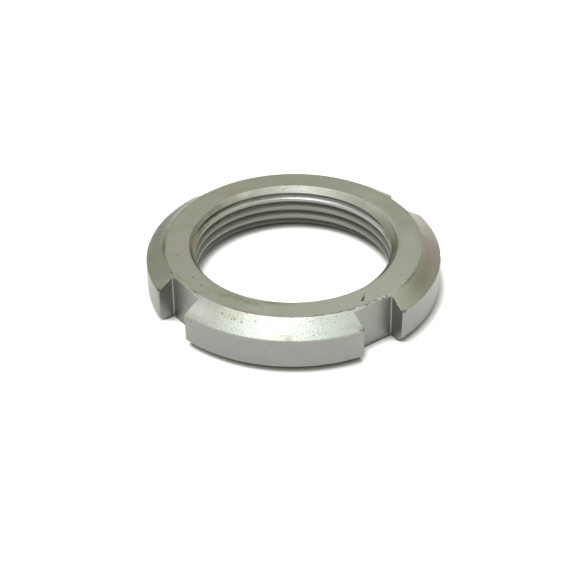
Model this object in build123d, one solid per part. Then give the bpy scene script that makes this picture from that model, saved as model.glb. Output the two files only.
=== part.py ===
from build123d import *
from math import radians, tan
import os

# A slotted round nut: one steel ring, turned with a wide chamfer round its crown, threaded,
# and then milled with spanner slots across its rim. Lengths are in millimetres.
# The flat seat lies on Z = 0 and +Z runs along the thread's axis, up to the crown.
# The origin is the centre of the seat. The first slot faces +X and the others follow
# evenly round the ring.

# Thread: the bore stands at its crests, and its grooves reach out to the full diameter
thread_diameter = 30.0
thread_pitch = 1.5
flank_angle = 60.0
crest_share = 5 / 8  # of the sharp triangle's height, between full and crest diameter

# Ring
ring_width = 6.3  # from the thread's full diameter out to the rim
height = 7.2

# Crown chamfer: the slope between the flat top and the rim
crown_width = 2.8
crown_drop = 1.95

# Countersinks: one at each end of the thread, wider on the seat's side
mouth_margin = 0.05  # beyond the thread's full diameter, so that no groove cuts the mouth
seat_mouth_margin = 0.6
mouth_slope = 45.0  # degrees between a countersink's cone and its end face

# Seat: the edge between the rim and the seat is broken
seat_edge = 1.0

# Spanner slots: flat floors and parallel walls, with a small radius from the cutter
slot_count = 4
slot_width = 6.6
slot_depth = 2.7
slot_corner_radius = 0.2

# Radii that follow from these sizes
full_radius = thread_diameter / 2
sharp_height = thread_pitch / (2 * tan(radians(flank_angle / 2)))
crest_radius = full_radius - crest_share * sharp_height
mouth_radius = full_radius + mouth_margin
mouth_depth = (mouth_radius - crest_radius) * tan(radians(mouth_slope))
seat_mouth_radius = full_radius + seat_mouth_margin
seat_mouth_depth = (seat_mouth_radius - crest_radius) * tan(radians(mouth_slope))
rim_radius = full_radius + ring_width
flat_radius = rim_radius - crown_width
slot_floor_radius = rim_radius - slot_depth


def turned_ring():
    """The ring as it leaves the lathe: one section, turned about the thread's axis."""
    section = [
        (crest_radius, seat_mouth_depth),
        (crest_radius, height - mouth_depth),
        (mouth_radius, height),
        (flat_radius, height),
        (rim_radius, height - crown_drop),
        (rim_radius, seat_edge),
        (rim_radius - seat_edge, 0),
        (seat_mouth_radius, 0),
    ]
    with BuildPart() as ring:
        with BuildSketch(Plane.XZ):
            with BuildLine():
                Polyline(*section, close=True)
            make_face()
        revolve(axis=Axis.Z)
    return ring.part


def slot_cutter():
    """What the mill takes out for the slot on +X: a block with its two inner edges rounded."""
    run_out = slot_depth + slot_width  # the block passes the rim by a whole slot's width
    with BuildPart() as block:
        with BuildSketch():
            with Locations((slot_floor_radius, 0)):
                Rectangle(run_out, slot_width, align=(Align.MIN, Align.CENTER))
        extrude(amount=height)
        inner_edges = block.edges().filter_by(Axis.Z).group_by(Axis.X)[0]
        fillet(inner_edges, slot_corner_radius)
    return block.part


with BuildPart() as nut:
    add(turned_ring())
    with PolarLocations(0, slot_count):
        add(slot_cutter(), mode=Mode.SUBTRACT)

slotted_nut = nut.part
slotted_nut.label = "slotted_nut"

os.makedirs("parts", exist_ok=True)
export_step(slotted_nut, "parts/slotted_nut.step")
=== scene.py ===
import math
from collections import namedtuple

import bpy
from bpy.props import FloatProperty, FloatVectorProperty, IntProperty, PointerProperty
from mathutils import Matrix, Vector, noise


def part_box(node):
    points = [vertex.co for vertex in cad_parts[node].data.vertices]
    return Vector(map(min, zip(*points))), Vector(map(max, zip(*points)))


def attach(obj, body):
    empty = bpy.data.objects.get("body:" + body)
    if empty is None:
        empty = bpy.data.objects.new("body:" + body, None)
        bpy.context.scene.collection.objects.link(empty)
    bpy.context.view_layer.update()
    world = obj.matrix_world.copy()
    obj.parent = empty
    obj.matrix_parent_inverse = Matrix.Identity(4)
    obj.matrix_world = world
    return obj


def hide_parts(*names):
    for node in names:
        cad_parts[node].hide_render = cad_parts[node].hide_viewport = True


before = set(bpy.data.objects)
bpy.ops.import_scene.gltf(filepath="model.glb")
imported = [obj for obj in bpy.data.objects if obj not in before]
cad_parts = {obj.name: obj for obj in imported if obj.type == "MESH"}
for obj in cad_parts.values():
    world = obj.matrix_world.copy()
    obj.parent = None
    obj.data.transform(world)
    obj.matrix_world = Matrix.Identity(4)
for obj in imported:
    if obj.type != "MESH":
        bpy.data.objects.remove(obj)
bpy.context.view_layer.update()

# A flat round steel nut, dressed for looks: its thread is cut as a real helix, its worked edges
# are broken and burred, and its steel is turned, tumbled and lightly stained. Lengths are in
# metres. The seat lies on Z = 0, the thread's axis is Z, and the first slot faces +X.

bl_info = {
    "name": "Slotted Round Nut",
    "version": (1, 0, 0),
    "blender": (4, 5, 0),
    "location": "3D View > Sidebar > Round Nut",
    "description": "Cuts the thread, works the edges and finishes the steel of a round nut",
    "category": "Object",
}

MM = 0.001
NODE = "slotted_nut"
BODY = "root"

_, crown_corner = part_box(NODE)
nut_height = crown_corner.z
half_across_slots = crown_corner.x


def linear(hex_colour):
    """An sRGB hex colour as linear red, green, blue and alpha."""
    parts = [int(hex_colour[i:i + 2], 16) / 255 for i in (1, 3, 5)]
    return [c / 12.92 if c <= 0.04045 else ((c + 0.055) / 1.055) ** 2.4 for c in parts] + [1.0]


def length(name, description, default_mm):
    """A length for the sidebar, given in millimetres and kept in metres."""
    return FloatProperty(
        name=name, description=description, default=default_mm * MM, unit="LENGTH", precision=5
    )


def colour(name, description, hex_colour):
    """A colour for the sidebar, given as an sRGB hex value."""
    return FloatVectorProperty(
        name=name, description=description, default=linear(hex_colour), size=4,
        min=0, max=1, subtype="COLOR",
    )


class NutShape(bpy.types.PropertyGroup):
    """Sizes of the ring, its thread, its slots and its worked edges."""

    thread_diameter: length("Thread diameter", "Full diameter, at the thread's roots", 30.0)
    thread_pitch: length("Thread pitch", "Rise of the thread in one turn", 1.5)
    thread_start: length("Thread start", "Depth of the first groove below the crown, at +X", 1.48)
    crown_width: length("Crown chamfer width", "From the flat's edge out to the rim", 2.8)
    crown_drop: length("Crown chamfer drop", "From the flat down to the rim's top edge", 1.95)
    mouth_margin: length("Mouth margin", "Crown countersink beyond the thread's roots", 0.05)
    seat_mouth_margin: length(
        "Seat mouth margin", "Seat countersink beyond the thread's roots", 0.6
    )
    seat_edge: length("Seat edge", "Broken edge between the rim and the seat", 1.0)
    slot_width: length("Slot width", "Across the walls of a spanner slot", 6.6)
    slot_depth: length("Slot depth", "From the rim in to a slot's floor", 2.7)
    slot_corner: length("Slot corner", "Radius between a slot's floor and its walls", 0.2)
    edge_round: length("Edge rounding", "Radius that tumbling leaves on each edge", 0.06)
    rim_corner: length("Rim corner", "Radius where a slot's wall meets the rim", 0.15)
    burr: length("Burr", "Greatest lip that the mill leaves on a slot's edges", 0.20)
    slot_count: IntProperty(
        name="Slots", description="Spanner slots round the rim", default=4, min=2
    )


class SteelFinish(bpy.types.PropertyGroup):
    """Colours and textures of the nut's steel."""

    turned: colour("Turned steel", "Crown and seat, turned and then tumbled", "#AAABA7")
    film: colour("Oil film", "Steel under a thin dried film of oil", "#9FA290")
    # Also the colour of a painted highlight on the countersink
    clean: colour("Clean steel", "Steel wiped clean of its film", "#B7B9B4")
    mint: colour("Mint film", "Steel under a thin greenish film", "#A7B4AD")
    rosy: colour("Rosy film", "Steel under a thin reddish film", "#B5ABA7")
    # Darker than the turned steel: partly a finer, greyer satin, partly painted shade on the
    # upright sides and in the slots
    rim: colour("Rim steel", "Rim, turned with a finer feed", "#858685")
    slot: colour("Slot steel", "Floors and walls of the milled slots", "#888A87")
    thread: colour("Thread steel", "Flanks of the thread, left bright by the tap", "#AFB1AE")
    # Painted shade deep in the thread, and the colour of the oil stains in the bore
    oil_and_shade: colour("Old oil", "Dark oil left deep in the thread", "#80817A")
    stain: colour("Stain", "Brownish stain from handling", "#A19787")
    smudge: colour("Smudge", "Dark brown smudge", "#83806E")
    copper: colour("Copper stain", "Rusty tint at the start of the thread", "#BFB2A4")
    # Dark marks of dirt, and the colour of the painted shade at the foot and in the thread
    soot_and_shade: colour("Dark marks", "Dirt held by pits and along the edges", "#45463D")
    # Painted highlight: the colour of glints on burrs and of lighter patches where the steel
    # catches the light
    bare: colour("Bare steel", "Bright metal where an edge or a burr is rubbed", "#F4F5F2")

    # On the real nut the dents, turning marks and tears are finer than a pixel of the picture.
    # They are drawn as coarse as they need to be to show.
    grain: length("Grain", "Size of the dents that tumbling leaves", 0.30)
    feed: length("Feed", "Spacing of the turning marks", 0.22)
    tear: length("Tears", "Width of the small tears that the tap leaves in the thread", 0.15)
    tear_depth: length("Tear depth", "Depth of those tears", 0.003)

    pit_spacing: length("Pit spacing", "Distance between the pits on the crown", 0.70)
    pit_patch: length("Pit patches", "Size of the patches where the pits are", 2.2)
    film_patch: length("Film patches", "Size of the patches of oil film on the crown", 3.5)
    side_patch: length("Side patches", "Size of the patches of oil film on the sides", 2.5)
    handling: length("Handling", "Size of the faint stains from handling on the flat", 5.0)
    ragged: length("Ragged edge", "Length of the waves in the edge of a stain", 0.7)
    # Depths where the thread's painted shade, and the dulling by its old oil, begin and are full
    deep_start: length("Oil start", "Depth below the crown where the old oil begins", 1.8)
    deep_full: length("Oil full", "Depth below the crown where it is thickest", 3.0)
    roughness: FloatProperty(
        name="Roughness", description="Roughness of the tumbled steel",
        default=0.38, min=0, max=1, subtype="FACTOR",
    )
    thread_roughness: FloatProperty(
        name="Thread roughness", description="Roughness of the thread, which no stone reaches",
        default=0.28, min=0, max=1, subtype="FACTOR",
    )
    oil_roughness: FloatProperty(
        name="Oil roughness", description="Roughness of the thread under its old oil",
        default=0.52, min=0, max=1, subtype="FACTOR",
    )


class StudioSetup(bpy.types.PropertyGroup):
    """Floor, lamp and camera."""

    floor_colour: colour("Floor", "Pale floor", "#FAFAFB")
    # The painted shadow's colour, which the floor takes where the nut stands close
    shadow_colour: colour("Floor shadow", "Floor close under the nut's edges", "#B8B8BC")
    shadow_reach: length("Shadow reach", "How near the nut has to be to shade the floor", 2.0)
    shade_side: FloatProperty(
        name="Shade side", description="Angle from +X of the side that the light comes from",
        default=math.radians(144.2), subtype="ANGLE",
    )
    shade_lean: FloatProperty(
        name="Shade lean", description="How far the shade leans away from that side",
        default=0.5, min=0,
    )
    lamp_size: length("Lamp size", "Width of the round overhead lamp", 225.0)
    lamp_height: length("Lamp height", "Height of the lamp above the floor", 420.0)
    lamp_azimuth: FloatProperty(
        name="Lamp azimuth", description="Turn of the lamp about the thread's axis",
        default=math.radians(-77.8), subtype="ANGLE",
    )
    lamp_elevation: FloatProperty(
        name="Lamp elevation", description="Height of the lamp's line above the floor",
        default=math.radians(77.5), subtype="ANGLE",
    )
    floor_glow: FloatProperty(
        name="Floor glow", description="Brightness added to the floor where it is seen",
        default=0.35, min=0,
    )
    room_level: FloatProperty(
        name="Room level", description="Brightness of the room's pale ceiling", default=1.53,
        min=0,
    )
    lamp_power: FloatProperty(
        name="Lamp power", description="Power of the overhead lamp", default=0.49, min=0,
        unit="POWER",
    )
    camera_distance: length("Camera distance", "From the seat's centre to the camera", 237.1)
    camera_azimuth: FloatProperty(
        name="Camera azimuth", description="Turn of the camera about the thread's axis",
        default=math.radians(-35.81), subtype="ANGLE",
    )
    camera_elevation: FloatProperty(
        name="Camera elevation", description="Height of the camera's line above the floor",
        default=math.radians(35.39), subtype="ANGLE",
    )


# How finely the ring is meshed: steps along half of one slot and tooth, and across the section.
# The edge rows lie across a rounded edge, in shares of its radius, and the curtain rows down the
# outline, in shares of its height.
FLOOR_STEPS = 20
CORNER_STEPS = 4
WALL_STEPS = 14
RIM_CORNER_STEPS = 4
RIM_STEPS = 48
FLAT_STEPS = 5
CONE_STEPS = 7
SEAT_EDGE_STEPS = 2
ARC_STEPS = 4
EDGE_ROWS = (-1.6, -1, 0, 1, 1.6)
CURTAIN_ROWS = (0.01, 0.12, 0.25, 0.4, 0.55, 0.7, 0.85, 0.99)

TURN_CORNERS = 4  # corners of the thread's section in each turn
BURR_LENGTH = 0.35 * MM  # about how long each burr on a slot's edge is
SECTION_MIDDLE = 18.0 * MM  # radius of the middle of the ring's section
SHARP_TURN = math.radians(28)  # faces that meet at more than this keep a sharp edge

# The finishes, in the order of the ring's material slots
TURNED, THREAD, SLOT, RIM = range(4)

# Depth of the dents from tumbling, in shares of their size: on the crown, and on the upright
# sides, which the stones only brush
CROWN_DENTS = 1 / 9
SIDE_DENTS = 1 / 60

# How deep other marks are, in shares of the dents' depth: turning marks and pits on the crown,
# and the tool's streaks on the sides
TURNING_MARKS = 0.25
PITS = 0.6
SIDE_STREAKS = 0.3

# How far the roughness varies from patch to patch
CROWN_SPREAD = 0.04
SIDE_SPREAD = 0.03

PIT_DIRT = 0.5  # how much of a pit's own colour its dirt hides
DEEP_SHADE_COVER = 0.8  # how much of the thread's own colour the painted shade deep in the bore hides

# How a tint fades, as distances from the place that it belongs to: it ends at the one, and is full
# from the other. Handling marks the flat, and painted shade lies in the thread's roots and on its
# crests. A stain's distances are shares of its half size.
Fade = namedtuple("Fade", "end full")

HANDLED = Fade(0.3 * MM, 0.1 * MM)
ROOT_SHADE = Fade(0.25 * MM, 0.08 * MM)
CREST_SHADE = Fade(0.027 * MM, 0.007 * MM)
STAIN_EDGE = Fade(1.2, 0.3)

# How far a stain's edge wanders: in millimetres, and at most as a share of its half width
RAGGED_EDGE = 0.3
MOST_RAGGED = 0.5

# How the steel is darkened near the seat, as painted shade where the shadow at the foot falls: the
# heights that the darkening reaches up to and is full below, and how dark it is there. The seat's
# own steel is left undarkened, up to its skin's height.
Foot = namedtuple("Foot", "top full share")

TURNED_FOOT = Foot(1.0 * MM, 0.3 * MM, 0.2)
SIDE_FOOT = Foot(0.5 * MM, 0.15 * MM, 0.4)
SEAT_SKIN = 0.05 * MM

MIX_A, MIX_B = 6, 7  # the colours that a Mix node mixes, among its inputs

FLOOR_SIZE = 8.0  # so wide that a low camera sees nothing past its far edge

# The photograph: its width and height, the focal length and the place of the seat's centre, all
# in pixels, and the camera's roll in radians
PHOTO_PIXELS = 570
LENS_PIXELS = 1614.1
SEAT_PIXEL = (293.68, 281.77)
CAMERA_ROLL = -0.0078

# The room from the horizon up: the sine of the height above it, and the colour there
RoomBand = namedtuple("RoomBand", "height hex_colour")

ROOM_BANDS = (
    RoomBand(0.00, "#494940"),
    RoomBand(0.20, "#999988"),
    RoomBand(0.42, "#9A9A88"),
    RoomBand(0.64, "#BCBCAC"),
    RoomBand(0.87, "#FCFCFC"),
    RoomBand(1.00, "#FFFFFF"),
)

# One place on the outline, seen from above: the bore's angle there, the point, the way out of
# the metal, and the part of the outline that it is on
Station = namedtuple("Station", "angle point out part")

# A mark that a knock has left: degrees round the nut from +X, and in millimetres its radius
# from the axis, its drop below the crown, its size and its depth
Dent = namedtuple("Dent", "degrees radius drop size depth")

DENTS = (
    Dent(-80.4, 21.25, 2.05, 0.38, 0.16),
    Dent(-99.3, 21.10, 1.95, 0.40, 0.15),
    Dent(170.4, 21.25, 2.00, 0.35, 0.12),
    Dent(-127.5, 21.30, 2.05, 0.80, 0.07),
    Dent(-38.5, 21.30, 2.10, 0.60, 0.08),
    Dent(-45.5, 21.30, 2.05, 0.50, 0.08),
    Dent(-92.9, 17.46, 0.00, 0.30, 0.06),
    Dent(-90.0, 16.80, 0.00, 0.30, 0.06),
    Dent(60.0, 21.30, 2.05, 0.55, 0.07),
    Dent(118.0, 18.70, 0.00, 0.40, 0.05),
)

# A patch of colour on the steel: degrees round the nut from +X, and in millimetres its radius,
# its drop below the crown, its half length round the nut and its half width across
Stain = namedtuple("Stain", "degrees radius drop along across share kind")

STAINS = (
    # Lighter steel over the front
    Stain(-86.0, 16.8, 0.0, 17.0, 3.2, 0.68, "clean"),
    # The crown chamfer
    Stain(-41.0, 19.0, 0.3, 3.2, 0.7, 0.80, "clean"),
    Stain(-37.0, 20.1, 1.1, 4.5, 1.4, 0.60, "stain"),
    Stain(-33.0, 18.3, 0.1, 1.6, 0.6, 0.60, "stain"),
    Stain(-50.0, 20.2, 1.2, 4.5, 1.6, 0.70, "rosy"),
    Stain(-33.0, 20.2, 1.2, 4.5, 1.6, 0.70, "rosy"),
    Stain(-20.0, 20.2, 1.2, 3.5, 1.6, 0.60, "rosy"),
    Stain(-58.0, 19.6, 0.7, 3.5, 1.2, 0.30, "smudge"),
    Stain(-18.3, 20.4, 1.3, 3.0, 0.7, 0.70, "stain"),
    Stain(122.0, 20.2, 1.2, 6.0, 1.8, 0.90, "smudge"),
    Stain(118.0, 20.2, 1.2, 7.0, 1.8, 0.68, "soot_and_shade"),
    Stain(106.0, 20.2, 1.2, 5.0, 1.8, 0.35, "soot_and_shade"),
    Stain(-24.0, 19.0, 0.3, 3.0, 0.6, 0.70, "clean"),
    Stain(-171.0, 20.0, 1.1, 2.0, 1.2, 0.80, "clean"),
    # Painted highlight on the chamfer
    Stain(-170.0, 20.0, 1.1, 3.2, 1.6, 0.25, "bare"),
    Stain(-66.0, 18.75, 0.25, 2.5, 0.20, 0.35, "soot_and_shade"),
    Stain(-63.0, 20.0, 1.0, 2.8, 1.6, 0.35, "smudge"),
    Stain(145.0, 20.0, 1.0, 3.0, 1.6, 0.25, "smudge"),
    Stain(-112.0, 20.1, 1.1, 5.0, 1.7, 0.60, "mint"),
    Stain(-146.0, 20.0, 1.0, 3.5, 1.5, 0.55, "mint"),
    Stain(-104.5, 20.4, 1.4, 1.2, 0.5, 0.50, "film"),
    Stain(-152.0, 19.3, 0.5, 1.6, 0.6, 0.70, "film"),
    # The flat
    Stain(-36.0, 16.8, 0.0, 3.0, 1.6, 0.50, "clean"),
    Stain(9.0, 16.8, 0.0, 3.0, 1.6, 0.50, "clean"),
    Stain(-141.0, 17.2, 0.0, 3.0, 1.2, 0.50, "clean"),
    Stain(-156.0, 15.9, 0.0, 2.2, 0.5, 0.50, "smudge"),
    Stain(-147.0, 16.2, 0.0, 1.6, 0.50, 0.45, "smudge"),
    Stain(-135.0, 15.4, 0.0, 2.6, 0.40, 0.50, "smudge"),
    Stain(-163.0, 16.4, 0.0, 1.6, 0.2, 0.45, "smudge"),
    # The bore: its countersink, and the thread
    Stain(144.0, 14.85, 0.25, 1.6, 0.3, 0.60, "clean"),
    Stain(-19.0, 14.5, 2.3, 1.0, 0.35, 0.60, "soot_and_shade"),
    Stain(-10.0, 14.8, 1.8, 6.0, 0.30, 0.70, "soot_and_shade"),
    Stain(128.0, 14.5, 2.0, 6.5, 0.8, 0.55, "oil_and_shade"),
    Stain(118.0, 14.75, 1.25, 6.0, 0.30, 0.55, "soot_and_shade"),
    Stain(116.0, 14.75, 2.75, 6.0, 0.30, 0.55, "soot_and_shade"),
    # Painted highlights on the countersink
    Stain(-12.0, 14.85, 0.3, 5.5, 0.5, 0.28, "bare"),
    Stain(84.0, 14.85, 0.3, 1.6, 0.45, 0.25, "bare"),
    Stain(106.0, 14.85, 0.3, 3.0, 0.45, 0.40, "smudge"),
    Stain(146.0, 14.6, 1.2, 5.0, 0.50, 0.80, "copper"),
    Stain(95.0, 14.5, 1.6, 12.0, 0.6, 0.55, "smudge"),
    Stain(-40.0, 14.6, 0.5, 3.2, 0.7, 0.70, "oil_and_shade"),
    # Painted highlight, where the countersink's bright band reaches further
    Stain(-6.0, 14.8, 0.3, 6.5, 1.2, 1.00, "clean"),
    # The flat's edge and the rim's top edge
    Stain(144.0, 18.7, 0.15, 4.5, 0.35, 0.60, "smudge"),
    Stain(146.5, 18.7, 0.1, 1.6, 0.13, 0.60, "soot_and_shade"),
    Stain(170.4, 21.2, 1.9, 0.40, 0.22, 0.90, "soot_and_shade"),
    Stain(172.5, 18.3, 0.0, 0.9, 0.12, 0.55, "soot_and_shade"),
    Stain(-174.0, 18.4, 0.0, 1.0, 0.14, 0.60, "soot_and_shade"),
    Stain(-147.0, 18.4, 0.0, 2.2, 0.10, 0.60, "soot_and_shade"),
    Stain(-117.0, 18.4, 0.0, 1.4, 0.11, 0.60, "soot_and_shade"),
    Stain(-107.0, 18.4, 0.0, 2.0, 0.11, 0.75, "soot_and_shade"),
    Stain(-99.5, 18.5, 0.0, 1.0, 0.13, 0.80, "soot_and_shade"),
    Stain(-93.0, 18.5, 0.0, 0.9, 0.12, 0.80, "soot_and_shade"),
    Stain(-88.7, 18.45, 0.0, 0.8, 0.18, 0.90, "soot_and_shade"),
    Stain(-84.5, 18.6, 0.0, 0.7, 0.13, 0.75, "soot_and_shade"),
    Stain(-99.3, 21.1, 1.9, 0.45, 0.25, 0.90, "soot_and_shade"),
    Stain(-80.2, 21.2, 1.9, 0.45, 0.25, 0.90, "soot_and_shade"),
    Stain(-11.7, 18.4, 0.0, 0.8, 0.12, 0.50, "soot_and_shade"),
    # A scratch across the flat
    Stain(-93.2, 17.4, 0.0, 0.26, 0.20, 0.85, "soot_and_shade"),
    Stain(-92.4, 17.2, 0.0, 0.24, 0.20, 0.80, "soot_and_shade"),
    Stain(-91.6, 17.0, 0.0, 0.22, 0.18, 0.70, "soot_and_shade"),
    Stain(-90.8, 16.8, 0.0, 0.20, 0.18, 0.60, "soot_and_shade"),
    Stain(-90.0, 16.6, 0.0, 0.20, 0.16, 0.50, "soot_and_shade"),
    Stain(-89.2, 16.4, 0.0, 0.18, 0.16, 0.40, "soot_and_shade"),
    # Specks
    Stain(-150.3, 19.5, 0.7, 0.18, 0.14, 0.80, "soot_and_shade"),
    Stain(-146.9, 19.7, 0.8, 0.15, 0.15, 0.60, "soot_and_shade"),
    Stain(-141.4, 19.3, 0.5, 0.17, 0.12, 0.50, "soot_and_shade"),
    Stain(-156.0, 19.3, 0.5, 0.20, 0.14, 0.45, "soot_and_shade"),
    Stain(-119.1, 19.0, 0.3, 0.22, 0.20, 0.35, "soot_and_shade"),
    Stain(-118.6, 20.7, 1.5, 0.20, 0.16, 0.35, "soot_and_shade"),
    Stain(-108.0, 18.9, 0.3, 0.20, 0.14, 0.35, "soot_and_shade"),
    Stain(-153.9, 16.4, 0.0, 0.18, 0.13, 0.70, "soot_and_shade"),
    Stain(155.2, 16.8, 0.0, 0.18, 0.14, 0.80, "soot_and_shade"),
    Stain(167.6, 18.7, 0.1, 0.20, 0.16, 0.80, "soot_and_shade"),
    Stain(176.6, 16.7, 0.0, 0.16, 0.16, 0.80, "soot_and_shade"),
    Stain(-175.7, 16.8, 0.0, 0.22, 0.14, 0.80, "soot_and_shade"),
    # Painted glints, where burrs on a slot's edge catch the light
    Stain(-98.3, 18.5, 0.0, 0.18, 0.12, 0.70, "bare"),
    Stain(-94.9, 18.5, 0.0, 0.12, 0.10, 0.45, "bare"),
    Stain(-86.6, 18.4, 0.0, 0.16, 0.12, 0.80, "bare"),
    Stain(-85.6, 18.55, 0.05, 0.14, 0.12, 0.60, "bare"),
    Stain(-83.8, 18.5, 0.0, 0.16, 0.12, 0.70, "bare"),
)


def rim_radius(shape):
    """Radius of the rim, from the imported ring's width, which ends at the slots' walls."""
    return math.hypot(half_across_slots, shape.slot_width / 2)


def flat_radius(shape):
    """Radius of the edge between the flat and the crown chamfer."""
    return rim_radius(shape) - shape.crown_width


def thread_depth(shape):
    """Depth of a 60 degree thread's groove, five eighths of its sharp triangle's height."""
    return 5 / 8 * shape.thread_pitch / (2 * math.tan(math.radians(30)))


def crest_radius(shape):
    """Radius of the bore at the thread's crests."""
    return shape.thread_diameter / 2 - thread_depth(shape)


def mouth_radius(shape):
    """Radius of the crown's countersink, where it meets the flat."""
    return shape.thread_diameter / 2 + shape.mouth_margin


def seat_mouth_radius(shape):
    """Radius of the seat's countersink, where it meets the seat."""
    return shape.thread_diameter / 2 + shape.seat_mouth_margin


def fall(beyond, slope, blend):
    """Drop of a slope that starts at nought, with its start rounded over the blend's width."""
    if beyond <= -blend:
        return 0.0
    if beyond >= blend:
        return slope * beyond
    return slope * (beyond + blend) ** 2 / (4 * blend)


def crown_height(shape, radius):
    """Height of the crown's surface: the flat, then the chamfer's slope."""
    slope = shape.crown_drop / shape.crown_width
    return nut_height - fall(radius - flat_radius(shape), slope, shape.edge_round)


def seat_height(shape, radius):
    """Height of the lower surface: the seat, then its broken edge."""
    return fall(radius - (rim_radius(shape) - shape.seat_edge), 1.0, shape.edge_round)


def half_outline(shape):
    """The outline from the middle of a slot's floor to the middle of the next tooth."""
    rim = rim_radius(shape)
    floor = rim - shape.slot_depth
    half = shape.slot_width / 2
    run = []
    for i in range(FLOOR_STEPS):
        across = (half - shape.slot_corner) * i / FLOOR_STEPS
        run.append((Vector((floor, across)), Vector((1, 0)), "floor"))
    for i in range(CORNER_STEPS):
        turn = math.pi / 2 * i / CORNER_STEPS
        out = Vector((math.cos(turn), -math.sin(turn)))
        centre = Vector((floor + shape.slot_corner, half - shape.slot_corner))
        run.append((centre - out * shape.slot_corner, out, "corner"))

    # The wall's outer corner, which turns into the rim, and then the rim itself
    knee = half + shape.rim_corner
    knee_x = math.sqrt((rim - shape.rim_corner) ** 2 - knee**2)
    for i in range(WALL_STEPS):
        along = floor + shape.slot_corner
        along += (knee_x - along) * i / WALL_STEPS
        run.append((Vector((along, half)), Vector((0, -1)), "wall"))
    knee_angle = math.atan2(knee, knee_x)
    for i in range(RIM_CORNER_STEPS):
        turn = -math.pi / 2 + (knee_angle + math.pi / 2) * i / RIM_CORNER_STEPS
        out = Vector((math.cos(turn), math.sin(turn)))
        run.append((Vector((knee_x, knee)) + out * shape.rim_corner, out, "knee"))
    middle = math.pi / shape.slot_count
    for i in range(RIM_STEPS + 1):
        turn = knee_angle + (middle - knee_angle) * i / RIM_STEPS
        out = Vector((math.cos(turn), math.sin(turn)))
        run.append((out * rim, out, "rim"))
    return run


def stations(shape):
    """Every station round the ring, in order: each slot, then half of each tooth beside it."""
    half = half_outline(shape)
    steps = len(half) - 1
    middle = math.pi / shape.slot_count
    ring = []
    for slot in range(shape.slot_count):
        turn = Matrix.Rotation(2 * middle * slot, 2)
        for i in range(-steps, steps):
            point, out, part = half[abs(i)]
            if i < 0:
                point, out = Vector((point.x, -point.y)), Vector((out.x, -out.y))
            angle = 2 * middle * slot + middle * i / steps
            ring.append(Station(angle, turn @ point, turn @ out, part))
    return ring


def near(angle, other):
    """The angle, in turns that bring it closest to the other."""
    return angle + 2 * math.pi * round((other - angle) / (2 * math.pi))


def place(radius, angle, height):
    """A point of the ring."""
    return Vector((radius * math.cos(angle), radius * math.sin(angle), height))


def between(a, b, share):
    """The value that lies that share of the way from a to b."""
    return a + (b - a) * share


def lip(shape, station, share):
    """How far the mill's burr leans out over a slot at that share of the edge's rounding."""
    if station.part in ("knee", "rim"):
        return 0.0
    spot = Vector((station.point.x, station.point.y, 0)) / BURR_LENGTH
    ragged = noise.noise(spot) + 0.5 * noise.noise(spot * 2.7)
    return shape.burr * max(0.0, ragged) * math.sin(math.pi * share)


def end_face(shape, station, mouth, edge_radius, height_at, slope_steps, side):
    """One station's points across the crown or the seat, from the bore's mouth to the outline,
    then round the outline's edge. The side is 1 for the crown and -1 for the seat."""
    soft = shape.edge_round
    inner = mouth + soft / 2

    # The run starts at the bore's own angle and ends at the outline's
    last = station.point - station.out * 2 * soft
    last_angle = near(math.atan2(last.y, last.x), station.angle)
    point_angle = near(math.atan2(station.point.y, station.point.x), station.angle)
    edge_angle = between(point_angle, station.angle, 0.0 if station.part == "floor" else 0.5)
    edge = min(edge_radius, last.length - 2 * soft)
    run = [(inner, station.angle), (inner + soft, station.angle)]
    for i in range(1, FLAT_STEPS):
        share = i / FLAT_STEPS
        run.append((between(inner, edge - soft, share), between(station.angle, edge_angle, share)))
    run += [(edge + row * soft, edge_angle) for row in EDGE_ROWS]
    slope_start = edge + EDGE_ROWS[-1] * soft
    for i in range(1, slope_steps + 1):
        share = i / slope_steps
        radius = between(slope_start, last.length, share)
        run.append((radius, between(edge_angle, last_angle, share)))
    points = [place(radius, angle, height_at(shape, radius)) for radius, angle in run]

    # The rounded edge of the outline, with the burr on it
    for i in range(ARC_STEPS + 1):
        turn = math.pi / 2 * i / ARC_STEPS
        plan = station.point - station.out * soft * (1 - math.sin(turn))
        height = height_at(shape, plan.length) - side * soft * (1 - math.cos(turn))
        plan += station.out * lip(shape, station, i / ARC_STEPS)
        points.append(Vector((plan.x, plan.y, height)))
    return points


def thread_corners(shape, angle):
    """Corners of the thread's section at one angle, from below the seat to above the crown, as
    (number, height, radius). The numbers run on along the helix, from turn to turn."""
    pitch = shape.thread_pitch
    opening = pitch * 3 / 4
    root_flat = pitch / 8
    crest, root = crest_radius(shape), shape.thread_diameter / 2
    start = nut_height - shape.thread_start
    lowest = -math.ceil(start / pitch) - 2
    highest = math.ceil(shape.thread_start / pitch) + 2
    sides = ((-opening, crest), (-root_flat, root), (root_flat, root), (opening, crest))
    corners = []
    for turn in range(lowest, highest + 1):
        centre = start + pitch * (turn + angle / (2 * math.pi))
        for number, (width, radius) in enumerate(sides, start=TURN_CORNERS * turn):
            corners.append((number, centre + width / 2, radius))
    return corners


def sink_radius(shape, height):
    """Radius that the two countersinks' 45 degree cones reach at a height."""
    return max(mouth_radius(shape) - (nut_height - height), seat_mouth_radius(shape) - height)


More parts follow.
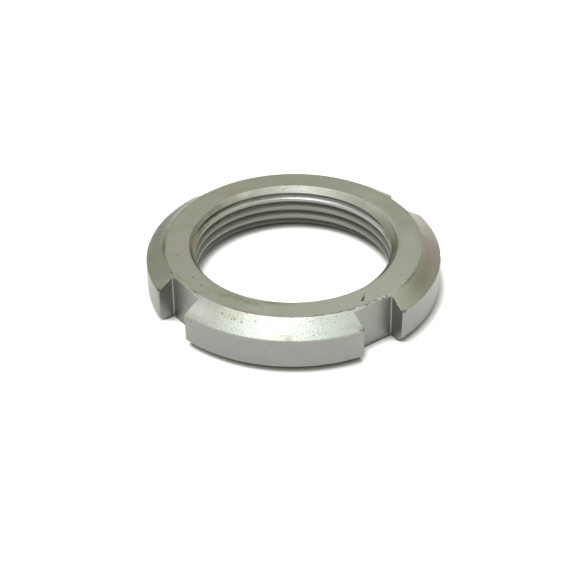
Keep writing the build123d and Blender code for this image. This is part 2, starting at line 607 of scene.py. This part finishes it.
def bore_section(shape, angle):
    """The bore's section at one angle, from the seat up, as (number, height, radius): the
    thread, where it is cut deeper than the two countersinks. A point between two corners,
    where a countersink cuts the thread, has the number half way between theirs."""
    low, high = shape.edge_round / 2, nut_height - shape.edge_round / 2
    hold = shape.edge_round / 4
    section = [(key, z, sink_radius(shape, z)) for key, z in (("low", low), ("hold", low + hold))]
    corners = thread_corners(shape, angle)
    for (number, z, r), (_, next_z, next_r) in zip(corners, corners[1:]):
        here, there = r - sink_radius(shape, z), next_r - sink_radius(shape, next_z)
        if here > 0 and low + hold < z < high - hold:
            section.append((number, z, r))
        if here * there < 0:
            cut_z = between(z, next_z, here / (here - there))
            if low + hold < cut_z < high - hold:
                section.append((number + 0.5, cut_z, sink_radius(shape, cut_z)))
    for key, z in (("top hold", high - hold), ("high", high)):
        section.append((key, z, sink_radius(shape, z)))
    return section


def column(shape, station):
    """The whole section at one station, as (key, point), round from the seat's inner edge, up
    the bore, out over the crown, down the outline and back along the seat."""
    keyed = []
    for number, z, r in bore_section(shape, station.angle):
        keyed.append((number, place(r, station.angle, z)))
    mouth, seat_mouth = mouth_radius(shape), seat_mouth_radius(shape)
    crown = end_face(shape, station, mouth, flat_radius(shape), crown_height, CONE_STEPS, 1)
    seat_end = rim_radius(shape) - shape.seat_edge
    seat = end_face(shape, station, seat_mouth, seat_end, seat_height, SEAT_EDGE_STEPS, -1)
    keyed += [(("crown", i), point) for i, point in enumerate(crown)]
    for i, share in enumerate(CURTAIN_ROWS):
        keyed.append((("side", i), crown[-1].lerp(seat[-1], share)))
    keyed += [(("seat", i), seat[i]) for i in reversed(range(len(seat)))]
    return keyed


def strip(left, right, points):
    """Faces that close the strip between two runs of points, with the same ends."""
    if len(left) == len(right) == 2:
        return [(left[0], left[1], right[1], right[0])]
    faces = []
    i = j = 0
    while i < len(left) - 1 or j < len(right) - 1:
        left_done, right_done = i == len(left) - 1, j == len(right) - 1
        if not left_done and not right_done:
            by_left = (points[left[i + 1]] - points[right[j]]).length
            by_right = (points[right[j + 1]] - points[left[i]]).length
            right_done = by_left < by_right
        if right_done:
            faces.append((left[i], left[i + 1], right[j]))
            i += 1
        else:
            faces.append((left[i], right[j + 1], right[j]))
            j += 1
    return faces


def on_thread(key):
    """Whether a section's key is a number, as every key on the thread is."""
    return isinstance(key, (int, float))


def region(keys, part):
    """Which finish a face has, from the keys on its near side and its place on the outline."""
    first, last = keys[0], keys[-1]
    if on_thread(first) and on_thread(last):
        return THREAD
    if isinstance(first, tuple) and first[0] == "side":
        return RIM if part == "rim" else SLOT
    return TURNED


def ring_mesh(shape):
    """The whole ring as one closed mesh, section by section round the axis."""
    ring = stations(shape)
    points, columns = [], []
    for station in ring:
        numbered = []
        for key, point in column(shape, station):
            numbered.append((key, len(points)))
            points.append(point)
        numbered.append(("close", numbered[0][1]))
        columns.append(numbered)
    faces, regions = [], []
    for n, (station, left) in enumerate(zip(ring, columns)):
        right = columns[(n + 1) % len(columns)]
        if n == len(columns) - 1:  # the first section again, one turn further along the helix
            right = [(key - TURN_CORNERS if on_thread(key) else key, v) for key, v in right]
        spots = {key: j for j, (key, _) in enumerate(right)}
        rungs = [(i, spots[key]) for i, (key, _) in enumerate(left) if key in spots]
        for (i, j), (next_i, next_j) in zip(rungs, rungs[1:]):
            near_side = [v for _, v in left[i:next_i + 1]]
            far_side = [v for _, v in right[j:next_j + 1]]
            made = strip(near_side, far_side, points)
            faces += made
            kind = region([key for key, _ in left[i:next_i + 1]], station.part)
            regions += [kind] * len(made)
    for dent in DENTS:
        knock(points, dent)
    mesh = bpy.data.meshes.new("slotted_ring")
    mesh.from_pydata(points, [], faces)
    mesh.polygons.foreach_set("material_index", regions)
    mesh.validate()
    mesh.shade_smooth()
    mesh.set_sharp_from_angle(angle=SHARP_TURN)
    return mesh


def knock(points, dent):
    """Presses one dent into the points, towards the middle of the ring's section."""
    angle = math.radians(dent.degrees)
    centre = place(dent.radius * MM, angle, nut_height - dent.drop * MM)
    heart = place(SECTION_MIDDLE, angle, nut_height / 2)
    for point in points:
        distance = (point - centre).length / (dent.size * MM)
        if distance < 1:
            inward = (heart - point).normalized()
            point += inward * dent.depth * MM * (1 - distance**2) ** 2


def add_node(tree, kind, inputs=None, **settings):
    """Adds one node. Each input is given a value, or the output that feeds it. A node in an
    output's place feeds it from its first output in use."""
    made = tree.nodes.new(kind)
    for name, value in settings.items():
        setattr(made, name, value)
    for key, value in (inputs or {}).items():
        if isinstance(value, bpy.types.Node):
            value = next(output for output in value.outputs if output.enabled)
        if isinstance(value, bpy.types.NodeSocket):
            tree.links.new(value, made.inputs[key])
        else:
            made.inputs[key].default_value = value
    return made


def new_material(name):
    """An empty node material, and its tree."""
    material = bpy.data.materials.new(name)
    material.use_nodes = True
    material.node_tree.nodes.clear()
    return material, material.node_tree


def round_spot(tree):
    """Where a point lies on the nut: in space, and unrolled as the way round, the radius and
    the height."""
    spot = add_node(tree, "ShaderNodeTexCoord").outputs["Object"]
    parts = add_node(tree, "ShaderNodeSeparateXYZ", {0: spot}).outputs
    flat = add_node(tree, "ShaderNodeVectorMath", {0: spot, 1: (1, 1, 0)}, operation="MULTIPLY")
    radius = add_node(tree, "ShaderNodeVectorMath", {0: flat}, operation="LENGTH")
    turn = add_node(tree, "ShaderNodeMath", {0: parts["Y"], 1: parts["X"]}, operation="ARCTAN2")
    way = add_node(tree, "ShaderNodeMath", {0: turn, 1: SECTION_MIDDLE}, operation="MULTIPLY")
    unrolled = add_node(tree, "ShaderNodeCombineXYZ", {"X": way, "Y": radius, "Z": parts["Z"]})
    return spot, unrolled


def tool_marks(tree, unrolled, size, shortened, detail):
    """Marks of that width that run round the nut, as a tool leaves them. The way round is
    shortened by that share, which draws them out."""
    drawn_out = add_node(tree, "ShaderNodeVectorMath", {
        0: unrolled, 1: (shortened, 1, 1),
    }, operation="MULTIPLY")
    return add_node(tree, "ShaderNodeTexNoise", {
        "Vector": drawn_out, "Scale": 1 / size, "Detail": detail, "Roughness": 0.6,
    })


def stained(tree, finish, spot, unrolled, tint):
    """Lays every stain over a colour, each with a ragged edge."""
    waves = add_node(tree, "ShaderNodeTexNoise", {
        "Vector": spot, "Scale": 1 / finish.ragged, "Detail": 3.0, "Roughness": 0.6,
    })
    waves = add_node(tree, "ShaderNodeMapRange", {
        "Value": waves, "From Min": 0.3, "From Max": 0.7, "To Min": -1.0,
    })
    for stain in STAINS:
        way = math.radians(stain.degrees) * SECTION_MIDDLE
        middle = (way, stain.radius * MM, nut_height - stain.drop * MM)
        half = (stain.along * MM, stain.across * MM, 2 * stain.across * MM)
        off = add_node(tree, "ShaderNodeVectorMath", {
            0: unrolled, 1: middle,
        }, operation="SUBTRACT")
        off = add_node(tree, "ShaderNodeVectorMath", {0: off, 1: half}, operation="DIVIDE")
        far = add_node(tree, "ShaderNodeVectorMath", {0: off}, operation="LENGTH")
        far = add_node(tree, "ShaderNodeMath", {
            0: waves, 1: min(MOST_RAGGED, RAGGED_EDGE / stain.across), 2: far,
        }, operation="MULTIPLY_ADD")
        share = add_node(tree, "ShaderNodeMapRange", {
            "Value": far, "From Min": STAIN_EDGE.end, "From Max": STAIN_EDGE.full,
            "To Max": stain.share,
        })
        tint = add_node(tree, "ShaderNodeMix", {
            0: share, MIX_A: tint, MIX_B: getattr(finish, stain.kind),
        }, data_type="RGBA")
    return tint


def painted_foot_shade(tree, finish, unrolled, tint, foot):
    """Darkens a colour near the seat with painted shade, where the shadow at the nut's foot falls.
    The seat itself is left undarkened.
    """
    height = add_node(tree, "ShaderNodeSeparateXYZ", {0: unrolled}).outputs["Z"]
    low = add_node(tree, "ShaderNodeMapRange", {
        "Value": height, "From Min": foot.top, "From Max": foot.full, "To Max": foot.share,
    })
    off_seat = add_node(tree, "ShaderNodeMapRange", {"Value": height, "From Max": SEAT_SKIN})
    foot_shade = add_node(tree, "ShaderNodeMath", {0: low, 1: off_seat}, operation="MULTIPLY")
    return add_node(tree, "ShaderNodeMix", {
        0: foot_shade, MIX_A: tint, MIX_B: finish.soot_and_shade,
    }, data_type="RGBA")


def steel(tree, tint, roughness, height, depth, metallic=1.0):
    """Steel with that tint and roughness, and with its surface raised by the height."""
    bump = add_node(tree, "ShaderNodeBump", {"Height": height, "Strength": 1.0, "Distance": depth})
    bare = add_node(tree, "ShaderNodeBsdfPrincipled", {
        "Base Color": tint, "Metallic": metallic, "Roughness": roughness, "Normal": bump,
    })
    add_node(tree, "ShaderNodeOutputMaterial", {"Surface": bare})


def turned_steel(finish):
    """Low-carbon steel, turned and then tumbled in a drum of small stones. The stones dull the
    turning marks to a sandy satin with dark pits, and a dried film of oil warms it in patches."""
    material, tree = new_material("turned_steel")
    spot, unrolled = round_spot(tree)
    height = add_node(tree, "ShaderNodeSeparateXYZ", {0: unrolled}).outputs["Z"]

    # The film of oil
    patches = add_node(tree, "ShaderNodeTexNoise", {
        "Vector": spot, "Scale": 1 / finish.film_patch, "Detail": 4.0, "Roughness": 0.6,
    })
    filmed = add_node(tree, "ShaderNodeMapRange", {
        "Value": patches, "From Min": 0.4, "From Max": 0.65, "To Max": 0.7,
    })
    tint = add_node(tree, "ShaderNodeMix", {
        0: filmed, MIX_A: finish.turned, MIX_B: finish.film,
    }, data_type="RGBA")

    # Faint stains from handling, on the flat only, and then every single stain
    touched = add_node(tree, "ShaderNodeTexNoise", {
        "Vector": spot, "Scale": 1 / finish.handling, "Detail": 3.0, "Roughness": 0.6,
    })
    touched = add_node(tree, "ShaderNodeMapRange", {
        "Value": touched, "From Min": 0.5, "From Max": 0.7, "To Max": 0.35,
    })
    on_flat = add_node(tree, "ShaderNodeMapRange", {
        "Value": height, "From Min": nut_height - HANDLED.end,
        "From Max": nut_height - HANDLED.full,
    })
    handled = add_node(tree, "ShaderNodeMath", {0: touched, 1: on_flat}, operation="MULTIPLY")
    tint = add_node(tree, "ShaderNodeMix", {
        0: handled, MIX_A: tint, MIX_B: finish.stain,
    }, data_type="RGBA")
    tint = stained(tree, finish, spot, unrolled, tint)

    # Pits, which come in patches and hold dirt
    hollows = add_node(tree, "ShaderNodeTexVoronoi", {
        "Vector": spot, "Scale": 1 / finish.pit_spacing,
    })
    hollows = add_node(tree, "ShaderNodeMapRange", {
        "Value": hollows, "From Min": 0.16, "From Max": 0.08,
    })
    pitted = add_node(tree, "ShaderNodeTexNoise", {
        "Vector": spot, "Scale": 1 / finish.pit_patch, "Detail": 3.0, "Roughness": 0.6,
    })
    pitted = add_node(tree, "ShaderNodeMapRange", {
        "Value": pitted, "From Min": 0.43, "From Max": 0.58,
    })
    pits = add_node(tree, "ShaderNodeMath", {0: hollows, 1: pitted}, operation="MULTIPLY")
    dirt_and_shade = add_node(tree, "ShaderNodeMath", {0: pits, 1: PIT_DIRT}, operation="MULTIPLY")
    tint = add_node(tree, "ShaderNodeMix", {
        0: dirt_and_shade, MIX_A: tint, MIX_B: finish.soot_and_shade,
    }, data_type="RGBA")
    # Painted shade near the seat, where the shadow at the foot falls
    tint = painted_foot_shade(tree, finish, unrolled, tint, TURNED_FOOT)

    # The surface: dents, with faint turning marks across them, and the pits sunk into both
    dents = add_node(tree, "ShaderNodeTexNoise", {
        "Vector": spot, "Scale": 1 / finish.grain, "Detail": 3.0, "Roughness": 0.6,
    })
    marks = tool_marks(tree, unrolled, finish.feed, shortened=0.02, detail=1.0)
    surface = add_node(tree, "ShaderNodeMath", {
        0: marks, 1: TURNING_MARKS, 2: dents,
    }, operation="MULTIPLY_ADD")
    surface = add_node(tree, "ShaderNodeMath", {
        0: pits, 1: -PITS, 2: surface,
    }, operation="MULTIPLY_ADD")
    gloss = add_node(tree, "ShaderNodeMapRange", {
        "Value": patches, "From Min": 0.3, "From Max": 0.7,
        "To Min": finish.roughness - CROWN_SPREAD, "To Max": finish.roughness + CROWN_SPREAD,
    })
    steel(tree, tint, gloss, surface, finish.grain * CROWN_DENTS)
    return material


def thread_steel(shape, finish):
    """The same steel where the tap cut the thread. No stone reaches it, so it stays smoother and
    brighter than the crown. Towards the seat its colour is darkened as painted shade deep in the
    bore, and old oil dulls it there."""
    material, tree = new_material("tapped_thread_steel")
    spot, unrolled = round_spot(tree)
    parts = add_node(tree, "ShaderNodeSeparateXYZ", {0: unrolled}).outputs
    # Painted shade: the thread's colour darkens with depth below the crown
    deep_share = add_node(tree, "ShaderNodeMapRange", {
        "Value": parts["Z"], "From Min": nut_height - finish.deep_start,
        "From Max": nut_height - finish.deep_full,
    })
    deep_shade_share = add_node(tree, "ShaderNodeMath", {0: deep_share, 1: DEEP_SHADE_COVER}, operation="MULTIPLY")
    tint = add_node(tree, "ShaderNodeMix", {
        0: deep_shade_share, MIX_A: finish.thread, MIX_B: finish.oil_and_shade,
    }, data_type="RGBA")

    # Painted shade along the roots and the crests, which shows only near the crown, above the
    # deeper painted shade
    root, crest = shape.thread_diameter / 2, crest_radius(shape)
    in_root = add_node(tree, "ShaderNodeMapRange", {
        "Value": parts["Y"], "From Min": root - ROOT_SHADE.end, "From Max": root - ROOT_SHADE.full,
    })
    on_crest = add_node(tree, "ShaderNodeMapRange", {
        "Value": parts["Y"], "From Min": crest + CREST_SHADE.end,
        "From Max": crest + CREST_SHADE.full,
    })
    dirt_and_shade = add_node(tree, "ShaderNodeMath", {0: in_root, 1: on_crest}, operation="ADD")
    shallow = add_node(tree, "ShaderNodeMapRange", {
        "Value": deep_share, "From Min": 0.5, "From Max": 0.0, "To Max": 0.5,
    })
    dirt_and_shade = add_node(tree, "ShaderNodeMath", {0: dirt_and_shade, 1: shallow}, operation="MULTIPLY")
    tint = add_node(tree, "ShaderNodeMix", {
        0: dirt_and_shade, MIX_A: tint, MIX_B: finish.soot_and_shade,
    }, data_type="RGBA")
    tint = stained(tree, finish, spot, unrolled, tint)

    # Oil dulls the steel, and makes it less of a mirror
    tears = tool_marks(tree, unrolled, finish.tear, shortened=0.03, detail=3.0)
    gloss = add_node(tree, "ShaderNodeMapRange", {
        "Value": deep_share, "To Min": finish.thread_roughness, "To Max": finish.oil_roughness,
    })
    metallic = add_node(tree, "ShaderNodeMapRange", {"Value": deep_share, "To Min": 1.0, "To Max": 0.7})
    steel(tree, tint, gloss, tears, finish.tear_depth, metallic)
    return material


def side_steel(finish, name, bare):
    """The same steel on the rim and in the slots. It stands upright, so the stones strike it less
    and it keeps a finer, greyer satin, with faint streaks of the tool along the rim. Its colour is
    darker than the crown's, partly from that satin and partly as painted shade."""
    material, tree = new_material(name)
    spot, unrolled = round_spot(tree)
    patches = add_node(tree, "ShaderNodeTexNoise", {
        "Vector": spot, "Scale": 1 / finish.side_patch, "Detail": 4.0, "Roughness": 0.6,
    })
    filmed = add_node(tree, "ShaderNodeMapRange", {
        "Value": patches, "From Min": 0.35, "From Max": 0.75, "To Max": 0.35,
    })
    tint = add_node(tree, "ShaderNodeMix", {
        0: filmed, MIX_A: bare, MIX_B: finish.film,
    }, data_type="RGBA")
    # Painted shade near the seat, where the shadow at the foot falls
    tint = painted_foot_shade(tree, finish, unrolled, tint, SIDE_FOOT)

    # The surface: dents half as wide as the crown's, with the tool's streaks across them
    dents = add_node(tree, "ShaderNodeTexNoise", {
        "Vector": spot, "Scale": 2 / finish.grain, "Detail": 3.0, "Roughness": 0.6,
    })
    streaks = tool_marks(tree, unrolled, finish.feed, shortened=0.04, detail=2.0)
    surface = add_node(tree, "ShaderNodeMath", {
        0: streaks, 1: SIDE_STREAKS, 2: dents,
    }, operation="MULTIPLY_ADD")
    gloss = add_node(tree, "ShaderNodeMapRange", {
        "Value": patches, "From Min": 0.3, "From Max": 0.7,
        "To Min": finish.roughness - SIDE_SPREAD, "To Max": finish.roughness + SIDE_SPREAD,
    })
    steel(tree, tint, gloss, surface, finish.grain * SIDE_DENTS)
    return material


def floor_paper(studio):
    """Matt white paper. Where it lies open it is brighter to the eye and in reflections than it is
    lit, so that it turns white close beside the nut. Where the nut stands close over it, its
    colour is darkened towards the shadow colour, a painted shadow that stays narrow and dark at
    the foot."""
    material, tree = new_material("floor_paper")

    # How open the paper lies, which leans towards the light, so that the shade is wider behind
    lean = Vector((math.cos(studio.shade_side), math.sin(studio.shade_side))) * studio.shade_lean
    to_light = Vector((lean.x, lean.y, 1)).normalized()
    to_light = add_node(tree, "ShaderNodeCombineXYZ", {
        "X": to_light.x, "Y": to_light.y, "Z": to_light.z,
    })
    open_share = add_node(tree, "ShaderNodeAmbientOcclusion", {
        "Distance": studio.shadow_reach, "Normal": to_light,
    }, samples=16).outputs["AO"]

    # Painted shadow: where the nut stands close, the paper's colour is mixed towards the shadow
    # colour
    lit = add_node(tree, "ShaderNodeMapRange", {
        "Value": open_share, "From Min": 0.2, "From Max": 0.68,
    })
    tint = add_node(tree, "ShaderNodeMix", {
        0: lit, MIX_A: studio.shadow_colour, MIX_B: studio.floor_colour,
    }, data_type="RGBA")
    matt = add_node(tree, "ShaderNodeBsdfDiffuse", {"Color": tint})

    path = add_node(tree, "ShaderNodeLightPath").outputs
    seen = add_node(tree, "ShaderNodeMath", {
        0: path["Is Camera Ray"], 1: path["Is Glossy Ray"],
    }, operation="MAXIMUM")
    seen = add_node(tree, "ShaderNodeMath", {
        0: seen, 1: path["Is Transmission Ray"],
    }, operation="MAXIMUM")
    glow = add_node(tree, "ShaderNodeMapRange", {
        "Value": open_share, "From Min": 0.47, "From Max": 0.76, "To Max": studio.floor_glow,
    })
    glow = add_node(tree, "ShaderNodeMath", {0: glow, 1: seen}, operation="MULTIPLY")
    glow = add_node(tree, "ShaderNodeEmission", {"Color": studio.floor_colour, "Strength": glow})

    both = add_node(tree, "ShaderNodeAddShader", {0: matt, 1: glow})
    add_node(tree, "ShaderNodeOutputMaterial", {"Surface": both})
    return material


def room_light(studio):
    """A pale room round the nut: a bright ceiling, duller and warmer walls, and a dark band
    along the horizon, which gives the steel its shading."""
    world = bpy.data.worlds.new("pale_room")
    world.use_nodes = True
    tree = world.node_tree
    tree.nodes.clear()
    way = add_node(tree, "ShaderNodeTexCoord").outputs["Generated"]
    height = add_node(tree, "ShaderNodeSeparateXYZ", {0: way}).outputs["Z"]
    ramp = add_node(tree, "ShaderNodeValToRGB", {"Fac": height})
    stops = ramp.color_ramp.elements
    while len(stops) < len(ROOM_BANDS):
        stops.new(1.0)
    for stop, band in zip(stops, ROOM_BANDS):
        stop.position = band.height
        stop.color = linear(band.hex_colour)
    sky = add_node(tree, "ShaderNodeBackground", {"Color": ramp, "Strength": studio.room_level})
    add_node(tree, "ShaderNodeOutputWorld", {"Surface": sky})
    return world


def aim(thing, azimuth, elevation, distance):
    """Sets a lamp or camera at that direction and distance from the origin, facing it. Azimuth
    0 looks along +Y, and the elevation is above the floor."""
    back = Vector((
        math.sin(azimuth) * math.cos(elevation),
        -math.cos(azimuth) * math.cos(elevation),
        math.sin(elevation),
    ))
    thing.rotation_mode = "QUATERNION"
    thing.location = back * distance
    thing.rotation_quaternion = (-back).to_track_quat("-Z", "Y")


class ROUNDNUT_OT_ring(bpy.types.Operator):
    """Build the threaded, slotted ring and give it its steel"""

    bl_idname = "round_nut.ring"
    bl_label = "Build Ring"

    def execute(self, context):
        shape, finish = context.scene.nut_shape, context.scene.steel_finish
        ring = bpy.data.objects.new("slotted_ring", ring_mesh(shape))
        context.scene.collection.objects.link(ring)
        for material in (
            turned_steel(finish),
            thread_steel(shape, finish),
            side_steel(finish, "milled_slot_steel", finish.slot),
            side_steel(finish, "turned_rim_steel", finish.rim),
        ):
            ring.data.materials.append(material)
        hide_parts(NODE)
        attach(ring, BODY)
        return {"FINISHED"}


class ROUNDNUT_OT_studio(bpy.types.Operator):
    """Lay the floor, hang the lamp and set the camera"""

    bl_idname = "round_nut.studio"
    bl_label = "Set Studio"

    def execute(self, context):
        studio = context.scene.nut_studio
        half = FLOOR_SIZE / 2
        mesh = bpy.data.meshes.new("floor")
        mesh.from_pydata(
            [(-half, -half, 0), (half, -half, 0), (half, half, 0), (-half, half, 0)],
            [], [(0, 1, 2, 3)],
        )
        floor = bpy.data.objects.new("floor", mesh)
        floor.data.materials.append(floor_paper(studio))
        context.scene.collection.objects.link(floor)

        lamp = bpy.data.lights.new("soft_lamp", "AREA")
        lamp.shape = "DISK"
        lamp.size = studio.lamp_size
        lamp.energy = studio.lamp_power
        hanging = bpy.data.objects.new("soft_lamp", lamp)
        aim(hanging, studio.lamp_azimuth, studio.lamp_elevation, studio.lamp_height)
        context.scene.collection.objects.link(hanging)
        context.scene.world = room_light(studio)
        context.scene.view_settings.view_transform = "Standard"

        lens = bpy.data.cameras.new("camera")
        lens.lens = LENS_PIXELS / PHOTO_PIXELS * lens.sensor_width
        lens.clip_start, lens.clip_end = 10 * MM, 1.5 * FLOOR_SIZE
        camera = bpy.data.objects.new("camera", lens)
        aim(camera, studio.camera_azimuth, studio.camera_elevation, studio.camera_distance)

        # The photograph isn't centred on the nut, so the camera turns a little aside from it
        yaw = math.atan((SEAT_PIXEL[0] - PHOTO_PIXELS / 2) / LENS_PIXELS)
        pitch = math.atan((SEAT_PIXEL[1] - PHOTO_PIXELS / 2) / LENS_PIXELS)
        turned = camera.rotation_quaternion.to_matrix()
        turned @= Matrix.Rotation(yaw, 3, "Y") @ Matrix.Rotation(pitch, 3, "X")
        turned @= Matrix.Rotation(CAMERA_ROLL, 3, "Z")
        camera.rotation_quaternion = turned.to_quaternion()
        context.scene.collection.objects.link(camera)
        context.scene.camera = camera
        return {"FINISHED"}


class ROUNDNUT_PT_panel(bpy.types.Panel):
    """Round nut"""

    bl_label = "Round Nut"
    bl_idname = "ROUNDNUT_PT_panel"
    bl_space_type = "VIEW_3D"
    bl_region_type = "UI"
    bl_category = "Round Nut"

    def draw(self, context):
        for operator in OPERATORS:
            self.layout.operator(operator.bl_idname)
        for name, group in GROUPS.items():
            box = self.layout.box()
            settings = getattr(context.scene, name)
            for setting in group.__annotations__:
                box.prop(settings, setting)


OPERATORS = (ROUNDNUT_OT_ring, ROUNDNUT_OT_studio)
GROUPS = {"nut_shape": NutShape, "steel_finish": SteelFinish, "nut_studio": StudioSetup}


def register():
    for group in GROUPS.values():
        bpy.utils.register_class(group)
    for name, group in GROUPS.items():
        setattr(bpy.types.Scene, name, PointerProperty(type=group))
    for part in (*OPERATORS, ROUNDNUT_PT_panel):
        bpy.utils.register_class(part)


def unregister():
    for part in (ROUNDNUT_PT_panel, *reversed(OPERATORS)):
        bpy.utils.unregister_class(part)
    for name in GROUPS:
        delattr(bpy.types.Scene, name)
    for group in GROUPS.values():
        bpy.utils.unregister_class(group)


def main():
    register()
    bpy.ops.round_nut.ring()
    bpy.ops.round_nut.studio()


if __name__ == "__main__":
    main()
